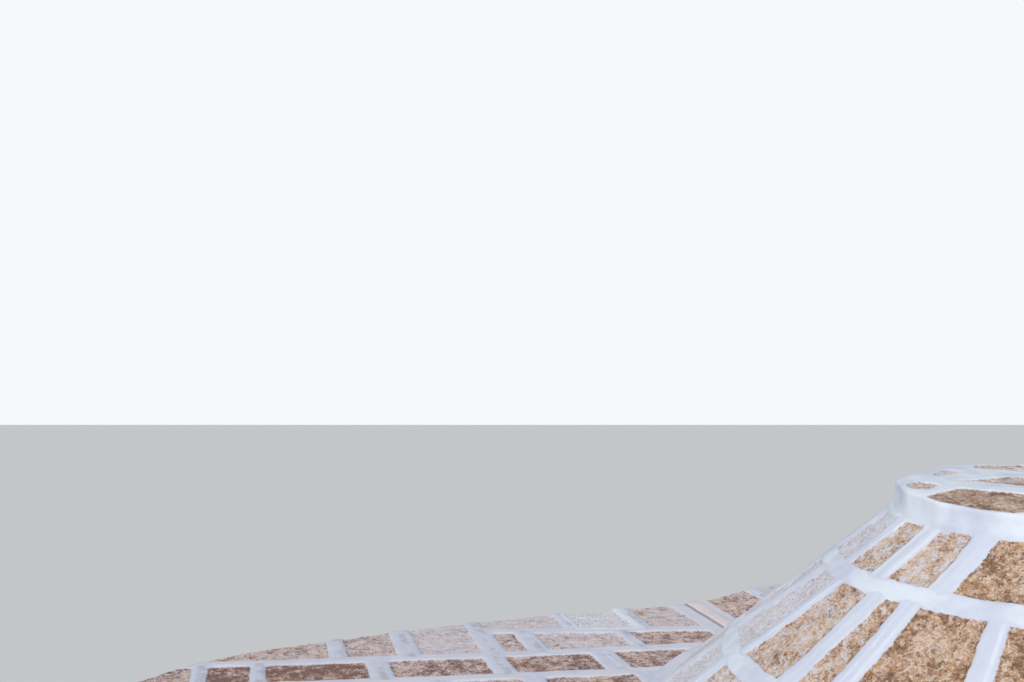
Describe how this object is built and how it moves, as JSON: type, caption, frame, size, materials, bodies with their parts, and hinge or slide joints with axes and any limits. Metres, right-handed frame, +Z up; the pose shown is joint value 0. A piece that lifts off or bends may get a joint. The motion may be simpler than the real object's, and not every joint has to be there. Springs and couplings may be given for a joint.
{
  "type": "trullo house",
  "caption": "Small trullo house: a round stone cell with a corbelled dome under a cone of limestone slabs, flat slab roof deck over a low apse.",
  "frame": {"origin": "on the ground, on the axis of the cone", "axes": "+Z up, +Y towards the far side that the picture shows, -X towards the apse, -Y towards the doorway"},
  "size_m": [6.83, 4.86, 4.2257],
  "materials": {
    "roof_slabs": "rough honey-brown limestone slabs with raised white lime joints",
    "limewash": "thick soft limewash over rubble masonry",
    "dome_stone": "limewashed corbelled stone rings",
    "frame_stone": "dressed pale limestone",
    "floor_slabs": "worn limestone paving"
  },
  "bodies": {
    "root": {"alcove_floor": "floor_slabs", "apse_deck": "roof_slabs", "apse_vault_far": "limewash", "apse_vault_near": "limewash", "apse_wall_far": "limewash", "apse_wall_near": "limewash", "cap_collar": "limewash", "cap_drum": "limewash", "cap_slab": "roof_slabs", "cell_floor": "floor_slabs", "closing_stone": "dome_stone", "cone_course_lower": "roof_slabs", "cone_course_middle": "roof_slabs", "cone_course_upper": "roof_slabs", "cone_joint_lower": "limewash", "cone_joint_upper": "limewash", "dome_ring_1": "dome_stone", "dome_ring_2": "dome_stone", "dome_ring_3": "dome_stone", "dome_ring_4": "dome_stone", "dome_ring_5": "dome_stone", "dome_ring_6": "dome_stone", "dome_ring_7": "dome_stone", "door_jamb_left": "frame_stone", "door_jamb_right": "frame_stone", "door_lintel": "frame_stone", "door_sill": "frame_stone", "ledge_far": "roof_slabs", "ledge_near": "roof_slabs", "passage_arch": "limewash", "passage_floor": "floor_slabs", "wall_left_far": "limewash", "wall_left_near": "limewash", "wall_over_door": "limewash", "wall_right_far": "limewash", "wall_right_near": "limewash"}
  },
  "joints": []
}
